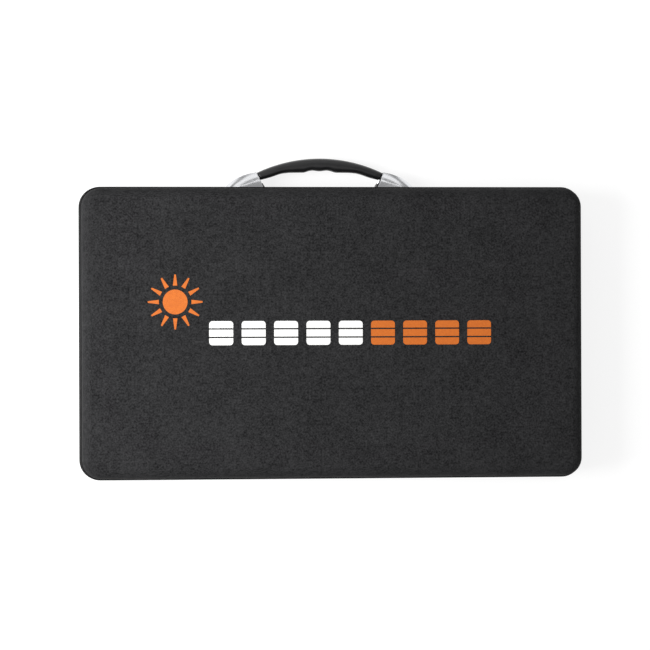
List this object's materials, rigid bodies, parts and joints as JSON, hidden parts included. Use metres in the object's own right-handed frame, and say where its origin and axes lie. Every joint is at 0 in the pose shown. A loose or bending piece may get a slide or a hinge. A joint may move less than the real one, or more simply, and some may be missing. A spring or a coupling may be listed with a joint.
{
  "type": "solar suitcase kit",
  "caption": "Zipped moulded carry case with a soft-grip side handle, holding a folding pair of framed solar panels with latches, stowed legs and a charge controller.",
  "frame": {"origin": "centre of the case's flat back face, which is the face it lies on", "axes": "+Z out of the printed lid, +Y towards the carry handle, +X along the length, to the right when the lid is looked at with the handle on top"},
  "size_m": [0.78, 0.4949, 0.0963],
  "materials": {
    "case_cloth": "woven polyester cloth laminated on moulded foam",
    "edge_piping": "satin vinyl welt",
    "zip_tape": "woven tape with a nylon coil",
    "pad_foam": "brushed lining cloth on foam",
    "print_white": "flat screen print",
    "print_orange": "flat screen print",
    "plated_foot": "satin bright plating",
    "black_plastic": "fine moulded texture",
    "soft_grip": "matte soft-touch",
    "spring_steel": "rolled",
    "zinc_steel": "bright zinc plate",
    "zip_metal": "gloss black enamel",
    "anodised_aluminium": "natural satin anodised",
    "solar_glass": "low-iron tempered glass",
    "solar_cell": "dark blue silicon under encapsulant",
    "backsheet": "white laminate film",
    "display": "liquid crystal window",
    "key_rubber": "matte grey"
  },
  "bodies": {
    "case_base": {"base_shell": "case_cloth", "base_pad": "pad_foam", "base_piping": "edge_piping", "base_zip_half": "zip_tape", "base_spine": "case_cloth", "handle_cover_left": "plated_foot", "handle_cover_right": "plated_foot", "handle_insert_left": "black_plastic", "handle_insert_right": "black_plastic", "handle_pins": "zinc_steel", "handle_screws": "zinc_steel", "handle_backing_plates": "zinc_steel"},
    "case_lid": {"lid_shell": "case_cloth", "lid_pad": "pad_foam", "lid_piping": "edge_piping", "lid_zip_half": "zip_tape", "lid_spine": "case_cloth", "lid_print_white": "print_white", "lid_print_orange": "print_orange"},
    "carry_handle": {"handle_grip": "soft_grip", "handle_strap": "spring_steel"},
    "zip_slider_left": {"zip_slider_left": "zip_metal"},
    "zip_slider_right": {"zip_slider_right": "zip_metal"},
    "zip_pull_left": {"zip_pull_left": "zip_metal"},
    "zip_pull_right": {"zip_pull_right": "zip_metal"},
    "panel_lower": {"lower_frame_rails": "anodised_aluminium", "lower_corner_keys": "anodised_aluminium", "lower_corner_caps": "black_plastic", "lower_backsheet": "backsheet", "lower_cell_strings": "solar_cell", "lower_glass": "solar_glass", "lower_junction_box": "black_plastic", "lower_legs": "anodised_aluminium", "lower_leg_mounts": "zinc_steel", "lower_hinge_leaves": "zinc_steel", "fold_pins": "zinc_steel", "frame_bumpers": "soft_grip", "panel_handle": "soft_grip", "panel_handle_clamps": "zinc_steel", "latch_brackets": "zinc_steel", "latch_pins": "zinc_steel"},
    "panel_upper": {"upper_frame_rails": "anodised_aluminium", "upper_corner_keys": "anodised_aluminium", "upper_corner_caps": "black_plastic", "upper_backsheet": "backsheet", "upper_cell_strings": "solar_cell", "upper_glass": "solar_glass", "upper_junction_box": "black_plastic", "upper_legs": "anodised_aluminium", "upper_leg_mounts": "zinc_steel", "upper_hinge_leaves": "zinc_steel", "latch_keepers": "zinc_steel", "controller_case": "black_plastic", "controller_display": "display", "controller_terminals": "black_plastic"},
    "latch_left": {"latch_hasp_left": "zinc_steel"},
    "latch_right": {"latch_hasp_right": "zinc_steel"},
    "button_1": {"controller_button_1": "key_rubber"},
    "button_2": {"controller_button_2": "key_rubber"},
    "button_3": {"controller_button_3": "key_rubber"}
  },
  "joints": [
    {"name": "lid_hinge", "type": "hinge", "parent": "case_base", "child": "case_lid", "pos_m": [0, -0.2253, 0.058], "axis": [1, 0, 0], "range_deg": [0, 180]},
    {"name": "pack_lift", "type": "slide", "parent": "case_base", "child": "panel_lower", "axis": [0, 0, 1], "range_m": [0, 0.063]},
    {"name": "panel_fold", "type": "hinge", "parent": "panel_lower", "child": "panel_upper", "pos_m": [0, -0.2096, 0.048], "axis": [1, 0, 0], "range_deg": [0, 180]},
    {"name": "handle_lift", "type": "slide", "parent": "case_base", "child": "carry_handle", "axis": [0, 1, 0], "range_m": [0, 0.003]},
    {"name": "zip_slide_left", "type": "slide", "parent": "case_base", "child": "zip_slider_left", "axis": [-1, 0, 0], "range_m": [0, 0.28]},
    {"name": "zip_slide_right", "type": "slide", "parent": "case_base", "child": "zip_slider_right", "axis": [1, 0, 0], "range_m": [0, 0.28]},
    {"name": "zip_pull_swing_left", "type": "hinge", "parent": "zip_slider_left", "child": "zip_pull_left", "pos_m": [-0.029, 0.2232, 0.058], "axis": [0, 0, -1], "range_deg": [0, 100]},
    {"name": "zip_pull_swing_right", "type": "hinge", "parent": "zip_slider_right", "child": "zip_pull_right", "pos_m": [0.001, 0.2232, 0.058], "axis": [0, 0, 1], "range_deg": [0, 100]},
    {"name": "latch_swing_left", "type": "hinge", "parent": "panel_lower", "child": "latch_left", "pos_m": [-0.225, 0.1974, 0.029], "axis": [1, 0, 0], "range_deg": [0, 25]},
    {"name": "latch_swing_right", "type": "hinge", "parent": "panel_lower", "child": "latch_right", "pos_m": [0.225, 0.1974, 0.029], "axis": [1, 0, 0], "range_deg": [0, 25]},
    {"name": "button_press_1", "type": "slide", "parent": "panel_upper", "child": "button_1", "axis": [0, 0, -1], "range_m": [0, 0.0008], "stiffness_N_per_m": 400, "springref_m": -0.0005},
    {"name": "button_press_2", "type": "slide", "parent": "panel_upper", "child": "button_2", "axis": [0, 0, -1], "range_m": [0, 0.0008], "stiffness_N_per_m": 400, "springref_m": -0.0005},
    {"name": "button_press_3", "type": "slide", "parent": "panel_upper", "child": "button_3", "axis": [0, 0, -1], "range_m": [0, 0.0008], "stiffness_N_per_m": 400, "springref_m": -0.0005}
  ],
  "couplings": [
    {"joint": "pack_lift", "follows": "lid_hinge", "m_per_rad": 0.02},
    {"joint": "panel_fold", "follows": "lid_hinge", "ratio": 1}
  ]
}
